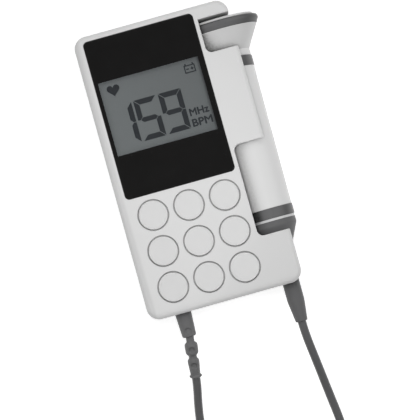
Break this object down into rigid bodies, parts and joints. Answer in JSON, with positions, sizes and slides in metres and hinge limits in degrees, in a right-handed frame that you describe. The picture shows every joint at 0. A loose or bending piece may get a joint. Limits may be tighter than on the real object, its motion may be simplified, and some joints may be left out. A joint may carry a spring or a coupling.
{
  "type": "fetal doppler monitor",
  "caption": "Hand-held fetal heart monitor: flat casing with a display window and round keys, an ultrasound probe docked in its side, and the cord that joins them.",
  "frame": {"origin": "middle of the flat back of the handset, on which it lies", "axes": "+Z out of the display, +Y towards the display end, +X towards the docked probe"},
  "size_m": [0.0901, 0.265, 0.0273],
  "materials": {
    "casing_plastic": "satin light grey-white moulding with a very fine spark texture",
    "probe_plastic": "satin light grey moulding",
    "key_plastic": "satin light grey-white moulding",
    "window_acrylic": "polished acrylic, printed black behind except over the display",
    "lcd_glass": "grey reflective liquid crystal glass",
    "inner_plastic": "white inner moulding",
    "grey_rubber": "dark grey soft moulding",
    "cord_jacket": "dark grey flexible jacket",
    "board_laminate": "green solder mask",
    "chip_plastic": "black moulding",
    "key_silicone": "translucent grey silicone",
    "cell_jacket": "plain printed cell jacket with bare ends",
    "plated_steel": "plated steel",
    "speaker_film": "dark pressed film",
    "piezo_ceramic": "fired ceramic with a metal film"
  },
  "bodies": {
    "handset": {"front_shell": "casing_plastic", "rear_shell": "casing_plastic", "display_window": "window_acrylic", "lcd_panel": "lcd_glass", "lcd_holder": "inner_plastic", "lcd_connector": "grey_rubber", "main_board": "board_laminate", "board_chips": "chip_plastic", "key_mat": "key_silicone", "battery_cells": "cell_jacket", "battery_contacts": "plated_steel", "casing_screws": "plated_steel", "speaker_gasket": "grey_rubber", "speaker_basket": "plated_steel", "speaker_cone": "speaker_film", "headphone_socket": "chip_plastic", "cable_relief": "grey_rubber", "cord_probe_side": "cord_jacket", "cord_handset_side": "cord_jacket", "cord_coil": "cord_jacket"},
    "probe": {"probe_face": "probe_plastic", "head_ring": "grey_rubber", "probe_head": "probe_plastic", "neck_band": "grey_rubber", "probe_grip": "probe_plastic", "rear_band": "grey_rubber", "light_ring": "casing_plastic", "probe_tail": "grey_rubber", "probe_boot": "grey_rubber", "probe_crystals": "piezo_ceramic", "crystal_backing": "chip_plastic", "probe_board": "board_laminate"},
    "battery_door": {"battery_door": "casing_plastic"},
    "key_1": {"key_1": "key_plastic"},
    "key_2": {"key_2": "key_plastic"},
    "key_3": {"key_3": "key_plastic"},
    "key_4": {"key_4": "key_plastic"},
    "key_5": {"key_5": "key_plastic"},
    "key_6": {"key_6": "key_plastic"},
    "key_7": {"key_7": "key_plastic"},
    "key_8": {"key_8": "key_plastic"},
    "key_9": {"key_9": "key_plastic"}
  },
  "joints": [
    {"name": "key_1_press", "type": "slide", "parent": "handset", "child": "key_1", "axis": [0, 0, -1], "range_m": [0, 0.0008], "stiffness_N_per_m": 1500},
    {"name": "key_2_press", "type": "slide", "parent": "handset", "child": "key_2", "axis": [0, 0, -1], "range_m": [0, 0.0008], "stiffness_N_per_m": 1500},
    {"name": "key_3_press", "type": "slide", "parent": "handset", "child": "key_3", "axis": [0, 0, -1], "range_m": [0, 0.0008], "stiffness_N_per_m": 1500},
    {"name": "key_4_press", "type": "slide", "parent": "handset", "child": "key_4", "axis": [0, 0, -1], "range_m": [0, 0.0008], "stiffness_N_per_m": 1500},
    {"name": "key_5_press", "type": "slide", "parent": "handset", "child": "key_5", "axis": [0, 0, -1], "range_m": [0, 0.0008], "stiffness_N_per_m": 1500},
    {"name": "key_6_press", "type": "slide", "parent": "handset", "child": "key_6", "axis": [0, 0, -1], "range_m": [0, 0.0008], "stiffness_N_per_m": 1500},
    {"name": "key_7_press", "type": "slide", "parent": "handset", "child": "key_7", "axis": [0, 0, -1], "range_m": [0, 0.0008], "stiffness_N_per_m": 1500},
    {"name": "key_8_press", "type": "slide", "parent": "handset", "child": "key_8", "axis": [0, 0, -1], "range_m": [0, 0.0008], "stiffness_N_per_m": 1500},
    {"name": "key_9_press", "type": "slide", "parent": "handset", "child": "key_9", "axis": [0, 0, -1], "range_m": [0, 0.0008], "stiffness_N_per_m": 1500},
    {"name": "probe_undock", "type": "slide", "parent": "handset", "child": "probe", "axis": [1, 0, 0], "range_m": [0, 0.045]},
    {"name": "battery_door_slide", "type": "slide", "parent": "handset", "child": "battery_door", "axis": [0, -1, 0], "range_m": [0, 0.03]}
  ]
}
